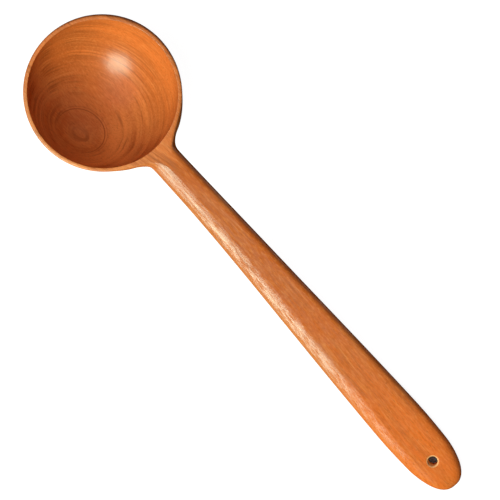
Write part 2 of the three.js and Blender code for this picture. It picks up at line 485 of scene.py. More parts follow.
@dataclass(frozen=True)
class Neck:
    """The web in which the bowl's rim and wall run into the handle."""

    start: float = 52 * MM
    width: float = 17.4 * MM
    depth: float = 13 * MM
    shoulders: tuple[Shoulder, Shoulder] = (Shoulder(8.2 * MM, 1.45), Shoulder(3.2 * MM, 2.0))
    shoulder_height: float = 3.0 * MM
    belly_fullness: float = 2.3
    wall_turn: float = math.radians(48)
    web_dip: float = math.radians(38)
    rim_depth: float = 0.45
    wall_pulls: tuple[float, float] = (0.56, 0.2)
    under_pulls: tuple[float, float] = (0.37, 0.37)
    rim_swelling: float = 2.15 * MM
    rim_swell_turn: float = math.radians(32)
    rim_swell_power: float = 2.0
    wall_swelling: float = 5.0 * MM
    wall_swell_turn: float = math.radians(52)
    wall_swell_power: float = 1.5
    wall_dip: float = math.radians(10)
    eased: float = 0.05
    top_lead: float = 1.5 * MM
    rim_line: tuple[Range, ...] = ((42.2, 14.6), (44.8, 11), (46.2, 9.3), (48, 8.55), (52, 8.7))
    rim_opening: tuple[float, ...] = (0.05, 0.12, 0.27, 0.5, 1.0)
    shares: tuple[float, ...] = (0.58, 0.68, 0.79, 0.9, 1.0)

    @property
    def section(self) -> Section:
        """The handle's first section."""
        drop = self.depth - self.shoulder_height
        return Section(self.width / 2, self.shoulder_height, drop, self.shoulders, self.belly_fullness)

    def swell(self, turn: float, dip: float) -> float:
        """How far the bowl's wall swells into the web.

        Args:
            turn: Angle round the rim, from the handle's middle.
            dip: Angle below the rim.

        Returns:
            The distance, outwards.
        """
        rim_room = 1 - (turn / self.rim_swell_turn) ** 2
        rim = self.rim_swelling * max(0.0, rim_room) ** self.rim_swell_power
        wall_room = 1 - (turn / self.wall_swell_turn) ** 2 - (dip / self.web_dip) ** 2
        wall = self.wall_swelling * max(0.0, wall_room) ** self.wall_swell_power
        return lerp(rim, wall, smoothstep(dip, 0.0, self.wall_dip))

    def below_rim(self, angle: float) -> float:
        """How far a line of the web belongs to the wall, from 0 at the rim to 1 under it."""
        return smoothstep(math.sin(angle), 0.0, self.rim_depth)

    def web_line(self, bowl: Bowl, angle: float) -> list[Vector]:
        """The line of the web that ends at one point of the neck's belly.

        Args:
            bowl: The bowl that the line leaves.
            angle: Angle of the belly point, from the side at none to the lowest line at a quarter turn.

        Returns:
            The four control points of a curve that is smooth with the bowl and the handle.
        """
        under = math.sin(angle)
        turn = self.wall_turn * math.cos(angle)
        dip = lerp(math.asin(bowl.rim_ease / bowl.radius), self.web_dip, under)
        level = math.cos(dip)
        outward = Vector((level * math.cos(turn), level * math.sin(turn), -math.sin(dip)))
        across, up = self.section.belly(angle)
        start = outward * bowl.radius
        end = Vector((self.start, across, up - self.shoulder_height))
        way = end - start
        along = (way - outward * way.dot(outward)).normalized()
        pulls = [lerp(*pair, under**2) for pair in zip(self.wall_pulls, self.under_pulls)]
        leaving = start + along * way.length * pulls[0]
        coming = end - Vector((way.length * pulls[1], 0, 0))
        return [start, leaving, coming, end]

    def point(self, bowl: Bowl, number: int, row: int, column: int) -> Vector:
        """A point of one ring of the web.

        Args:
            bowl: The bowl that the web leaves.
            number: Number of the ring, from the bowl to the handle.
            row: Row of the section's net.
            column: Column of the section's net.

        Returns:
            The point.
        """
        section = self.section
        if row == Mouth.LOWER.value:
            low = bezier(self.web_line(bowl, section.low_angle(column)), self.shares[number])
            return Vector((low.x, math.copysign(low.y, column) if column else 0.0, low.z))
        angle = math.radians(section.side_angles[row])
        edge = bezier(self.web_line(bowl, angle), self.shares[number])
        rim = Vector(self.rim_line[number]) * MM
        below = self.below_rim(angle)
        narrowing = section.belly(angle)[0] / section.belly(0.0)[0]
        edge.x = lerp(rim.x, edge.x, below)
        edge.y = lerp(rim.y * narrowing, edge.y, below)
        if row < SIDE_ROW:
            shoulder = section.shoulder(column)
            turn = SHOULDER_TURNS[row]
            rounding = lerp(bowl.rim_ease, shoulder.width, self.rim_opening[number])
            edge = edge + self._inward(number) * rounding * (1 - shoulder.out(turn))
            edge.z = edge.z * (1 - shoulder.up(turn))
        side = section.share(column)
        lead = self.top_lead * (1 - side**2) * (1 - self.shares[number]) / (1 - self.shares[0])
        return Vector((edge.x + lead, edge.y * side, edge.z))

    def _inward(self, number: int) -> Vector:
        """The direction in over the web, square to its rim line.

        Args:
            number: Number of the ring, from the bowl to the handle.

        Returns:
            The direction, on the side of the positive columns.
        """
        last = len(self.rim_line) - 1
        ahead = Vector(self.rim_line[min(number + 1, last)]) - Vector(self.rim_line[max(number - 1, 0)])
        return Vector((ahead.y, -ahead.x, 0)).normalized()

    def open_rim(self, bowl: Bowl, blank: Blank) -> None:
        """Swells the bowl's wall and widens its lip's rounding where the web starts.

        Args:
            bowl: The bowl.
            blank: The blank with the bowl's cage.
        """
        ring_label = blank.layer(Label.RING)
        column_label = blank.layer(Label.COLUMN)
        lip = bowl.lip_ring + 1
        for point in blank.mesh.verts:
            row = lip - point[ring_label]
            column = point[column_label]
            turn = abs(column) * bowl.column_turn
            if not 0 <= row < lip or turn >= self.wall_swell_turn:
                continue
            if row > SIDE_ROW:
                dip = math.asin(min(1.0, -point.co.z / bowl.radius))
                point.co += point.co.normalized() * self.swell(turn, dip)
            else:
                out, down = self._open_lip(bowl, row, column)
                point.co += Vector((point.co.x, point.co.y, 0)).normalized() * out
                point.co.z -= down
        blank.update()

    def _open_lip(self, bowl: Bowl, row: int, column: int) -> tuple[float, float]:
        """How a point of the lip's outer rounding moves where the web starts.

        Args:
            bowl: The bowl.
            row: Row of the section's net, counted from the top of the lip.
            column: Column round the bowl, from the handle's middle.

        Returns:
            How far the point moves out, and how far down.
        """
        root = HALF_COLUMNS * bowl.column_turn
        turn = max(abs(column) * bowl.column_turn, root)
        left = max(0.0, self.rim_swell_turn - turn)
        opened = self.eased * (left / (self.rim_swell_turn - root)) ** 2
        width = self.section.shoulder(column).width
        inset = (1 - math.cos(SHOULDER_TURNS[row])) * opened * (width - bowl.rim_ease)
        drop = (1 - math.sin(SHOULDER_TURNS[row])) * opened * (self.shoulder_height - bowl.side_line)
        return self.swell(turn, 0.0) - inset, drop


@dataclass(frozen=True)
class Handle:
    """The long handle: level at the neck, turning up, widening to the grip and rounded at its tip."""

    neck: Neck
    reach: float = 285 * MM
    grip_width: float = 29 * MM
    grip_depth: float = 10 * MM
    even_length: float = 14 * MM
    growth_ease: float = 0.5
    tip_shoulders: tuple[Shoulder, Shoulder] = (Shoulder(6.6 * MM, 1.5), Shoulder(3.4 * MM, 2.0))
    even_shoulders: tuple[float, float] = (75 * MM, 32 * MM)
    end_shoulder: Shoulder = Shoulder(5.0 * MM, 2.0)
    end_way: tuple[float, float] = (4 * MM, 20 * MM)
    end_flat: float = 0.4
    tip_length: float = 39 * MM
    tip_fullness: float = 2.5
    heel_length: float = 12 * MM
    rise_angle: float = math.radians(9)
    bend_radius: float = 450 * MM
    stations: tuple[float, ...] = (10, 21, 33, 46, 60, 75, 90, 106, 122, 138, 154, 170, 184, 196)
    tip_stations: tuple[float, ...] = (9.8, 6.3, 3.5, 1.7, 0.6)

    @property
    def hole_station(self) -> int:
        """Number of the first section that the hanging hole needs."""
        return 1 + len(self.neck.shares) + len(self.stations)

    @property
    def bend_length(self) -> float:
        """Length of the curve in which the handle turns up."""
        return self.bend_radius * self.rise_angle

    @property
    def length(self) -> float:
        """Length of the handle's spine, from the neck to the tip."""
        straight = self.reach - self.neck.start - self.bend_radius * math.sin(self.rise_angle)
        return self.bend_length + straight / math.cos(self.rise_angle)

    def on_spine(self, distance: float, across: float, up: float) -> Vector:
        """A point at a distance along the spine.

        Args:
            distance: Distance from the neck.
            across: Distance from the middle plane.
            up: Height over the flat top, square to it.

        Returns:
            The point.
        """
        slope = min(distance / self.bend_radius, self.rise_angle)
        straight = max(0.0, distance - self.bend_length)
        x = self.neck.start + self.bend_radius * math.sin(slope) + straight * math.cos(self.rise_angle)
        z = self.bend_radius * (1 - math.cos(slope)) + straight * math.sin(self.rise_angle)
        return Vector((x - up * math.sin(slope), across, z + up * math.cos(slope)))

    def section(self, distance: float) -> Section:
        """The cross-section at a place.

        Args:
            distance: Distance from the neck, along the spine.

        Returns:
            The section.
        """
        neck = self.neck
        widest = self.length - self.tip_length
        left = self.length - distance
        way = min(max((distance - self.even_length) / (widest - self.even_length), 0.0), 1.0)
        grown = lerp(way, smoothstep(distance, self.even_length, widest), self.growth_ease)
        tip = max(0.0, distance - widest) / self.tip_length
        edge = max(0.0, 1 - left / self.tip_shoulders[0].width)
        even = 1 - smoothstep(left, self.even_shoulders[1], self.even_shoulders[0])
        end = 1 - smoothstep(left, *self.end_way)
        pairs = zip(neck.shoulders, self.tip_shoulders)
        heel = max(0.0, 1 - left / self.heel_length)
        half_width = lerp(neck.width, self.grip_width, grown) / 2
        drop = lerp(neck.depth, self.grip_depth, grown) - neck.shoulder_height
        return Section(
            half_width=half_width * (1 - tip**self.tip_fullness) ** (1 / self.tip_fullness),
            rise=neck.shoulder_height * math.sqrt(1 - edge**2),
            drop=drop * math.sqrt(1 - heel**2),
            shoulders=tuple(one.eased(other, even).eased(self.end_shoulder, end) for one, other in pairs),
            belly_fullness=neck.belly_fullness,
            least_flat=lerp(Section.least_flat, self.end_flat, end),
        )

    def point(self, distance: float, row: int, column: int) -> Vector:
        """A point of the net at a distance along the spine."""
        across, up = self.section(distance).point(row, column)
        return self.on_spine(distance, across, up - self.neck.shoulder_height)

    def draw_out(self, bowl: Bowl, blank: Blank, hole_stations: list[float]) -> None:
        """Draws the handle out of the bowl's wall, section by section, and rounds its tip.

        Args:
            bowl: The bowl, whose rows under the lip the handle grows from.
            blank: The blank with the bowl's cage.
            hole_stations: Distances from the neck of the sections that the hanging hole needs.
        """
        ring_label = blank.layer(Label.RING)
        column_label = blank.layer(Label.COLUMN)
        lip = bowl.lip_ring + 1
        rows = range(lip - FACE_ROWS, lip + 1)

        def at_root(point: bmesh.types.BMVert) -> bool:
            """Whether a point lies in the patch that the handle grows from."""
            return point[ring_label] in rows and abs(point[column_label]) <= HALF_COLUMNS

        blank.select_faces(lambda face: all(map(at_root, face.verts)))
        rings = len(self.neck.shares)
        for number in range(rings):
            self._place(blank, lip, number + 1, partial(self.neck.point, bowl, number))
        tip = [self.length - left * MM for left in self.tip_stations]
        distances = [station * MM for station in self.stations] + hole_stations + tip
        for number, distance in enumerate(distances, start=1 + rings):
            self._place(blank, lip, number, partial(self.point, distance))
        self._round_tip(blank, lip, distances[-1])

    def _place(self, blank: Blank, lip: int, number: int, place: Callable[[int, int], Vector]) -> None:
        """Draws the selected faces out once and puts their points in place.

        Args:
            blank: The blank, with the end of the handle selected.
            lip: Label of the ring that the flat top starts from.
            number: Number of the new section.
            place: Gives a point's place from its row and column.
        """
        points = blank.extrude_faces()
        ring_label = blank.layer(Label.RING)
        column_label = blank.layer(Label.COLUMN)
        station_label = blank.layer(Label.STATION)
        for point in points:
            point.co = place(lip - point[ring_label], point[column_label])
            point[station_label] = number
        blank.update()

    def _round_tip(self, blank: Blank, lip: int, distance: float) -> None:
        """Domes the end face out to the tip.

        Args:
            blank: The blank, with the end face selected.
            lip: Label of the ring that the flat top starts from.
            distance: Distance of the end face along the spine.
        """
        ring_label = blank.layer(Label.RING)
        column_label = blank.layer(Label.COLUMN)
        section = self.section(distance)
        left = self.length - distance
        direction = Vector((math.cos(self.rise_angle), 0, math.sin(self.rise_angle)))
        for point in blank.mesh.verts:
            if point.select:
                across, up = section.point(lip - point[ring_label], point[column_label])
                side = abs(across) / section.half_width
                level = up / (section.rise if up > 0 else section.drop)
                point.co += direction * left * max(0.0, 1 - side**self.tip_fullness - level**2)
        blank.update()


@dataclass(frozen=True)
class HangingHole:
    """The bore through the grip near its tip, with eased edges."""

    bowl: Bowl
    handle: Handle
    radius: float = 2.7 * MM
    ease: float = 1.0 * MM
    lead: float = 2.5 * MM
    setback: float = 18.3 * MM
    reach: float = 4.2 * MM
    half_net: int = 2
    mouth_label: int = 100
    bore_label: int = 150

    @property
    def distance(self) -> float:
        """Distance of the hole's axis from the neck, along the spine."""
        return self.handle.length - self.setback

    def place(self) -> Vector:
        """Middle of the hole's upper mouth."""
        return self.handle.on_spine(self.distance, 0.0, 0.0)

    def stations(self) -> list[float]:
        """Distances of the sections round the hole."""
        steps = range(-self.half_net, self.half_net + 1)
        return [self.distance + self.reach * step / self.half_net for step in steps]

    def rings(self) -> list[tuple[float, float]]:
        """The rings of one mouth, from the face down into the bore.

        Returns:
            Radius and depth of each ring.
        """
        corner = self.ease * (1 - math.cos(EIGHTH_TURN))
        return [
            (self.radius + self.ease, 0.0),
            (self.radius + corner, corner),
            (self.radius, self.ease),
            (self.radius, self.lead),
        ]

    def drill(self, blank: Blank) -> None:
        """Opens the two mouths, turns their edges in and joins them through the grip.

        Args:
            blank: The blank with the bowl and the handle.
        """
        for mouth in Mouth:
            self._open(blank, mouth)
        ends = [self._turn_in(blank, mouth) for mouth in Mouth]
        label = blank.layer(Label.STATION)
        blank.select_edges(lambda edge: all(point[label] in ends for point in edge.verts))
        bpy.ops.mesh.bridge_edge_loops(number_cuts=1)

    def _in_net(self, blank: Blank, mouth: Mouth, point: bmesh.types.BMVert) -> bool:
        """Tells whether a point belongs to the patch of the handle's net that a mouth opens in.

        Args:
            blank: The blank.
            mouth: Which mouth.
            point: The point.

        Returns:
            True if it does.
        """
        first = self.handle.hole_station
        row = self.bowl.lip_ring + 1 - point[blank.layer(Label.RING)]
        number = point[blank.layer(Label.STATION)]
        column = point[blank.layer(Label.COLUMN)]
        inside = first <= number <= first + 2 * self.half_net
        return inside and row == mouth.value and abs(column) <= self.half_net

    def _open(self, blank: Blank, mouth: Mouth) -> None:
        """Cuts the patch of faces out in which a mouth opens."""
        blank.select_faces(lambda face: all(self._in_net(blank, mouth, point) for point in face.verts))
        bpy.ops.mesh.delete(type="FACE")

    def _turn_in(self, blank: Blank, mouth: Mouth) -> int:
        """Draws the edge of an opening onto the rings of a mouth.

        Args:
            blank: The blank.
            mouth: Which mouth.

        Returns:
            The label of the innermost ring.
        """
        blank.select_edges(
            lambda edge: edge.is_boundary and all(self._in_net(blank, mouth, point) for point in edge.verts)
        )
        first = self.handle.hole_station
        marker = self.mouth_label + mouth.value
        for depth_number, (radius, depth) in enumerate(self.rings()):
            points = blank.extrude_loop()
            station_label = blank.layer(Label.STATION)
            column_label = blank.layer(Label.COLUMN)
            turn_label = blank.layer(Label.TURN)
            for point in points:
                if depth_number == 0:
                    along = point[station_label] - first - self.half_net
                    point[turn_label] = round(math.atan2(point[column_label], along) / SIXTEENTH_TURN)
                point[station_label] = marker
                turn = point[turn_label] * SIXTEENTH_TURN
                up = -depth if mouth is Mouth.UPPER else depth - self.handle.grip_depth
                along = self.distance + radius * math.cos(turn)
                point.co = self.handle.on_spine(along, radius * math.sin(turn), up)
            blank.update()
        return self._mark_last(blank, points, self.bore_label + mouth.value)

    def _mark_last(self, blank: Blank, points: list[bmesh.types.BMVert], marker: int) -> int:
        """Labels the innermost ring, so that it can be found again.

        Args:
            blank: The blank.
            points: The ring's points.
            marker: The label.

        Returns:
            The label.
        """
        label = blank.layer(Label.STATION)
        for point in points:
            point[label] = marker
        blank.update()
        return marker


# Materials


class Number:
    """A shader socket that carries one number, so that node maths reads as Python arithmetic."""

    def __init__(self, bench: "NodeBench", socket: bpy.types.NodeSocket) -> None:
        """Keeps the bench that nodes are added to, and the socket."""
        self.bench = bench
        self.socket = socket

    def __add__(self, other: "Number | float") -> "Number":
        """This plus other."""
        return self.bench.maths("ADD", self, other)

    def __radd__(self, other: float) -> "Number":
        """Other plus this."""
        return self.bench.maths("ADD", other, self)

    def __sub__(self, other: "Number | float") -> "Number":
        """This minus other."""
        return self.bench.maths("SUBTRACT", self, other)

    def __rsub__(self, other: float) -> "Number":
        """Other minus this."""
        return self.bench.maths("SUBTRACT", other, self)

    def __mul__(self, other: "Number | float") -> "Number":
        """This times other."""
        return self.bench.maths("MULTIPLY", self, other)

    def __rmul__(self, other: float) -> "Number":
        """Other times this."""
        return self.bench.maths("MULTIPLY", other, self)

    def __truediv__(self, other: "Number | float") -> "Number":
        """This divided by other."""
        return self.bench.maths("DIVIDE", self, other)

    def __rtruediv__(self, other: float) -> "Number":
        """Other divided by this."""
        return self.bench.maths("DIVIDE", other, self)

    def rising(self, low: float, high: float) -> "Number":
        """A smooth rise.

        Args:
            low: Where it starts, at 0.
            high: Where it ends, at 1.

        Returns:
            The number from 0 to 1.
        """
        settings = {"interpolation_type": "SMOOTHSTEP", "clamp": True}
        sockets = {"Value": self, "From Min": low, "From Max": high, "To Min": 0.0, "To Max": 1.0}
        return Number(self.bench, self.bench.node("ShaderNodeMapRange", settings, sockets).outputs[0])


class NodeBench:
    """A node tree, and the ways in which nodes are put on it."""

    def __init__(self, tree: bpy.types.NodeTree) -> None:
        """Clears the tree that is worked on."""
        self.tree = tree
        tree.nodes.clear()

    def node(self, kind: str, settings: dict[str, Any], sockets: dict[Any, Any]) -> bpy.types.Node:
        """Adds a node.

        Args:
            kind: Blender's name of the node's type.
            settings: The node's own settings, which are set first.
            sockets: Values or links of its inputs, by name or number.

        Returns:
            The node.
        """
        made = self.tree.nodes.new(kind)
        for name, value in settings.items():
            setattr(made, name, value)
        for key, value in sockets.items():
            source = value.socket if isinstance(value, Number) else value
            if isinstance(source, bpy.types.NodeSocket):
                self.tree.links.new(source, made.inputs[key])
            else:
                made.inputs[key].default_value = source
        return made

    def maths(self, operation: str, *values: "Number | float") -> Number:
        """Adds one step of arithmetic and returns its result."""
        made = self.node("ShaderNodeMath", {"operation": operation}, dict(enumerate(values)))
        return Number(self, made.outputs[0])

    def noise(self, vector: bpy.types.NodeSocket, detail: float, roughness: float) -> Number:
        """Soft noise of unit size at a point.

        Args:
            vector: The point.
            detail: How many finer layers are added.
            roughness: How strong the finer layers are.

        Returns:
            The noise, between 0 and 1.
        """
        sockets = {"Vector": vector, "Scale": 1.0, "Detail": detail, "Roughness": roughness}
        return Number(self, self.node("ShaderNodeTexNoise", {}, sockets).outputs[0])

    def vector(self, x: "Number | float", y: "Number | float", z: "Number | float") -> bpy.types.NodeSocket:
        """The vector of three numbers."""
        return self.node("ShaderNodeCombineXYZ", {}, {0: x, 1: y, 2: z}).outputs[0]

    def mix(self, start: Any, end: Any, share: Number) -> bpy.types.NodeSocket:
        """The colour at a share of the way from start to end."""
        made = self.node("ShaderNodeMix", {"data_type": "RGBA"}, {0: share, 6: start, 7: end})
        return made.outputs[2]


@dataclass(frozen=True)
class Spot:
    """The place that is shaded, in the ladle's own frame and in millimetres."""

    bench: NodeBench
    x: Number
    y: Number
    z: Number

    @classmethod
    def on_ladle(cls, bench: NodeBench, place: Matrix) -> "Spot":
        """Reads the place from the piece's own coordinates.

        Args:
            bench: The bench of the material.
            place: The ladle's place, from its own frame to the scene.

        Returns:
            The spot.
        """
        coordinates = bench.node("ShaderNodeTexCoord", {}, {}).outputs["Object"]
        sockets = {
            "Vector": coordinates,
            "Location": place.translation,
            "Rotation": place.to_euler(),
            "Scale": (MM, MM, MM),
        }
        turned = bench.node("ShaderNodeMapping", {"vector_type": "TEXTURE"}, sockets).outputs[0]
        parts = bench.node("ShaderNodeSeparateXYZ", {}, {0: turned})
        return cls(bench, *(Number(bench, socket) for socket in parts.outputs))

    def reach(self, x: float) -> Number:
        """Distance in plan from a point of the middle line."""
        along = self.x - x
        return self.bench.maths("SQRT", along * along + self.y * self.y)


@dataclass(frozen=True)
class Grain:
    """Noise that is drawn out one way.

    Attributes:
        length: Its size along, in millimetres.
        width: Its size across.
        detail: How many finer layers are added.
        roughness: How strong the finer layers are.
    """

    length: float
    width: float
    detail: float = 2.0
    roughness: float = 0.5

    def along_handle(self, spot: Spot) -> Number:
        """The noise at a spot, drawn out along the handle, between 0 and 1."""
        place = spot.bench.vector(spot.x / self.length, spot.y / self.width, spot.z / self.width)
        return spot.bench.noise(place, self.detail, self.roughness)

    def in_layers(self, spot: Spot, layer: Number) -> Number:
        """The noise at a spot, drawn out along the growth layers, between 0 and 1."""
        place = spot.bench.vector(layer / self.width, spot.x / self.length, spot.y / self.length)
        return spot.bench.noise(place, self.detail, self.roughness)


@dataclass(frozen=True)
class GrowthLayers:
    """The board's growth layers, which lean through the bowl and follow the handle.

    Lengths are in millimetres, in the ladle's own frame.
    """

    lean: tuple[float, float, float] = (0.244, -0.687, -0.685)
    lean_end: float = 48.0
    lean_softness: float = 60.0
    rise_start: float = 55.0
    rise_softness: float = 20.0
    handle_rise: float = 0.13
    wave: Grain = Grain(75, 24)
    wave_height: float = 4.5

    def even(self, spot: Spot) -> Number:
        """How deep a spot lies across the layers, if they were even.

        Args:
            spot: The spot.

        Returns:
            The depth.
        """
        leaned = spot.bench.maths("SMOOTH_MIN", spot.x, self.lean_end, self.lean_softness)
        past = spot.bench.maths("SMOOTH_MAX", spot.x - self.rise_start, 0.0, self.rise_softness)
        over = spot.z - past * self.handle_rise
        return leaned * self.lean[0] + spot.y * self.lean[1] + over * self.lean[2]

    def waved(self, spot: Spot, even: Number) -> Number:
        """How deep a spot lies across the layers as they have grown, from its depth in even ones."""
        return even + (self.wave.along_handle(spot) - NOISE_MIDDLE) * self.wave_height


@dataclass(frozen=True)
class DarkRing:
    """One dark growth line with a fainter one beside it, in the bowl only.

    Lengths are in millimetres, in the ladle's own frame.
    """

    depth: float = 37.2
    width: float = 0.16
    gap: float = 0.5
    strength: float = 0.75
    faint_strength: float = 0.3
    bowl_end: Range = (35.0, 40.0)
    low_side: Range = (-38.0, -24.0)

    def mask(self, spot: Spot, layer: Number) -> Number:
        """How strongly the two lines show.

        Args:
            spot: The spot.
            layer: How deep it lies across the growth layers.

        Returns:
            A number from 0 to 1.
        """
        offset = layer - self.depth
        lines = self._line(offset) * self.strength + self._line(offset + self.gap) * self.faint_strength
        return lines * (1 - spot.x.rising(*self.bowl_end)) * spot.y.rising(*self.low_side)

    def _line(self, offset: Number) -> Number:
        """A thin line where the offset is nothing."""
        return 1 - offset.bench.maths("ABSOLUTE", offset).rising(0.0, self.width)


@dataclass(frozen=True)
class Figure:
    """What the wood's pattern comes to at a spot, each value from 0 to 1.

    Attributes:
        bands: Broad bands of growth.
        lines: Fine lines of growth.
        fibre: Flecks of fibre.
        clouds: Slow changes of tone.
        patches: Where the growth shows clearly.
        pores: Open pores.
        rubbed: Streaks in which the oil is rubbed bright.
        on_handle: 0 in the bowl and 1 on the handle.
        to_grip: 0 at the neck and 1 at the grip.
    """

    bands: Number
    lines: Number
    fibre: Number
    clouds: Number
    patches: Number
    pores: Number
    rubbed: Number
    on_handle: Number
    to_grip: Number


@dataclass(frozen=True)
class OilCoat:
    """The coat of oil: rubbed in along the fibre, thinner in the bowl and worn off at the grip."""

    roughness: float = 0.27
    index: float = 1.62
    facing_blend: float = 0.5
    facing_away: Range = (0.25, 0.6)
    in_bowl: float = 0.66
    more_on_handle: float = 0.2
    streaks_in_bowl: float = 0.3
    more_streaks_on_handle: float = 0.55
    pore_dullness: float = 0.5
    grip_wear: float = 0.75

    def weight(self, bench: NodeBench, figure: Figure) -> Number:
        """How strongly the coat shines.

        Args:
            bench: The bench of the material.
            figure: The wood's pattern.

        Returns:
            A number from 0 to 1.
        """
        angle = bench.node("ShaderNodeLayerWeight", {}, {"Blend": self.facing_blend})
        away = Number(bench, angle.outputs["Facing"]).rising(*self.facing_away)
        coat = (1 - away) * (self.in_bowl + figure.on_handle * self.more_on_handle)
        streaks = self.streaks_in_bowl + figure.on_handle * self.more_streaks_on_handle
        coat = coat * (1 - (1 - figure.rubbed) * streaks)
        coat = coat * (1 - figure.pores * self.pore_dullness)
        return coat * (1 - figure.to_grip * self.grip_wear)


@dataclass(frozen=True)
class OiledWood:
    """A fine-grained red-brown wood, oiled and rubbed to a soft gloss.

    Lengths are in millimetres, in the ladle's own frame, unless they say otherwise.
    """

    name: str = "oiled_wood"
    light: Colour = (0.690, 0.170, 0.032, 1.0)
    deep: Colour = (0.475, 0.116, 0.023, 1.0)
    late: Colour = (0.300, 0.074, 0.014, 1.0)
    fleck: Colour = (0.720, 0.262, 0.072, 1.0)
    pore: Colour = (0.233, 0.056, 0.011, 1.0)

    # Painted shade tint: a paler, less saturated colour on the -Y side, where the bowl's inner wall lies in
    # shade.
    painted_shade_tint: Colour = (0.640, 0.220, 0.062, 1.0)
    painted_shade_side: Range = (-36.0, -6.0)
    # Painted light: a lighter, warmer patch inside the bowl by the neck, where more light falls.
    painted_light: Colour = (0.820, 0.262, 0.062, 1.0)
    painted_light_way: Range = (8.0, 28.0)
    painted_light_end: Range = (36.0, 42.0)
    painted_light_side: Range = (0.0, 20.0)
    stem: Colour = (0.485, 0.090, 0.007, 1.0)
    stem_way: Range = (36.0, 62.0)
    grip: Colour = (0.740, 0.142, 0.017, 1.0)
    grip_way: Range = (120.0, 290.0)
    # Painted sheen: a paler strip along the lit -Y shoulder of the handle, fading towards the grip.
    painted_sheen: Colour = (0.540, 0.190, 0.056, 1.0)
    painted_sheen_side: Range = (-11.0, -3.0)
    painted_sheen_slant: float = 0.012
    painted_sheen_share: float = 0.7
    painted_sheen_fade: float = 0.8
    # Painted highlight: a pale cream ring round the hanging hole, standing in for its lit eased edge.
    painted_hole_highlight: Colour = (0.820, 0.430, 0.190, 1.0)
    painted_hole_reach: Range = (2.9, 3.7)

    layers: GrowthLayers = GrowthLayers()
    dark_ring: DarkRing = DarkRing()
    clouds: Grain = Grain(60, 24, 1.0)
    cloud_contrast: float = 0.5
    patches: Grain = Grain(30, 14, 1.0)
    patch_range: Range = (0.35, 0.6)
    bands: Grain = Grain(70, 3.4, 2.0)
    band_contrast: float = 0.3
    patch_contrast: float = 0.65
    tone_range: Range = (0.25, 0.75)
    grip_evenness: float = 0.5
    lines: Grain = Grain(34, 0.9, 2.0)
    late_line_range: Range = (0.50, 0.72)
    late_line_share: float = 0.66
    late_line_fade: float = 0.4
    pale_line_range: Range = (0.50, 0.75)
    pale_line_share: float = 0.35
    fibres: Grain = Grain(4, 0.9, 3.0, 0.65)
    fibre_range: Range = (0.45, 0.75)
    pale_fibre_share: float = 0.35
    late_fibre_share: float = 0.25
    pores: Grain = Grain(4, 0.5, 1.0)
    pore_range: Range = (0.60, 0.74)
    pore_share: float = 0.4

    matt_roughness: float = 0.6
    oil: OilCoat = OilCoat()
    rubbed: Grain = Grain(22, 1.2, 3.0, 0.6)
    rubbed_range: Range = (0.35, 0.65)
    relief_strength: float = 0.5
    relief_metres: float = 0.04 * MM
    fibre_height: float = 0.5
    pore_depth: float = 0.6

    def material(self, place: Matrix, hole: Vector) -> bpy.types.Material:
        """Makes the material.

        Args:
            place: The ladle's place, from its own frame to the scene.
            hole: Place of the hanging hole in the ladle's own frame.

        Returns:
            The material, whose pattern lies in the ladle's own frame.
        """
        made = bpy.data.materials.new(self.name)
        made.use_nodes = True
        bench = NodeBench(made.node_tree)
        spot = Spot.on_ladle(bench, place)
        even = self.layers.even(spot)
        figure = self._figure(spot, self.layers.waved(spot, even))
        colour = self._grained(spot, figure, self._ground(spot, figure))
        colour = bench.mix(colour, self.pore, self.dark_ring.mask(spot, even))
        # Painted highlight: the pale ring round the hanging hole.
        colour = bench.mix(colour, self.painted_hole_highlight, 1 - spot.reach(hole.x / MM).rising(*self.painted_hole_reach))
        sockets = {
            "Base Color": colour,
            "Roughness": self.matt_roughness,
            "Specular IOR Level": 0.0,
            "Normal": self._relief(bench, figure),
            "Coat Weight": self.oil.weight(bench, figure),
            "Coat Roughness": self.oil.roughness,
            "Coat IOR": self.oil.index,
        }
        surface = bench.node("ShaderNodeBsdfPrincipled", {}, sockets)
        bench.node("ShaderNodeOutputMaterial", {}, {"Surface": surface.outputs[0]})
        return made

    def _figure(self, spot: Spot, layer: Number) -> Figure:
        """Reads the wood's pattern.

        Args:
            spot: The spot.
            layer: How deep it lies across the growth layers.

        Returns:
            The pattern at that spot.
        """
        return Figure(
            bands=self.bands.in_layers(spot, layer),
            lines=self.lines.in_layers(spot, layer),
            fibre=self.fibres.along_handle(spot),
            clouds=self.clouds.along_handle(spot),
            patches=self.patches.along_handle(spot).rising(*self.patch_range),
            pores=self.pores.along_handle(spot).rising(*self.pore_range),
            rubbed=self.rubbed.along_handle(spot).rising(*self.rubbed_range),
            on_handle=spot.x.rising(*self.stem_way),
            to_grip=spot.x.rising(*self.grip_way),
        )

    def _ground(self, spot: Spot, figure: Figure) -> bpy.types.NodeSocket:
        """The broad colour: bands of growth over the tones of the bowl, the stem and the grip, with a
        painted shade tint on the -Y side and a painted light patch in the bowl by the neck.

        Args:
            spot: The spot.
            figure: The wood's pattern there.

        Returns:
            The colour.
        """
        mix = spot.bench.mix
        # Painted light: a lighter patch in the bowl by the neck.
        painted_light_share = spot.x.rising(*self.painted_light_way) * (1 - spot.x.rising(*self.painted_light_end))
        painted_light_share = painted_light_share * (1 - spot.y.rising(*self.painted_light_side))
        # Painted shade tint on the -Y side.
        pale = mix(self.light, self.painted_shade_tint, 1 - spot.y.rising(*self.painted_shade_side))
        pale = mix(pale, self.painted_light, painted_light_share)
        pale = mix(pale, self.stem, figure.on_handle)
        pale = mix(pale, self.grip, figure.to_grip)
        contrast = self.band_contrast + figure.patches * self.patch_contrast
        tone = (figure.bands - NOISE_MIDDLE) * contrast
        tone = tone + (figure.clouds - NOISE_MIDDLE) * self.cloud_contrast + NOISE_MIDDLE
        deepened = tone.rising(*self.tone_range) * (1 - figure.to_grip * self.grip_evenness)
        return mix(pale, self.deep, deepened)

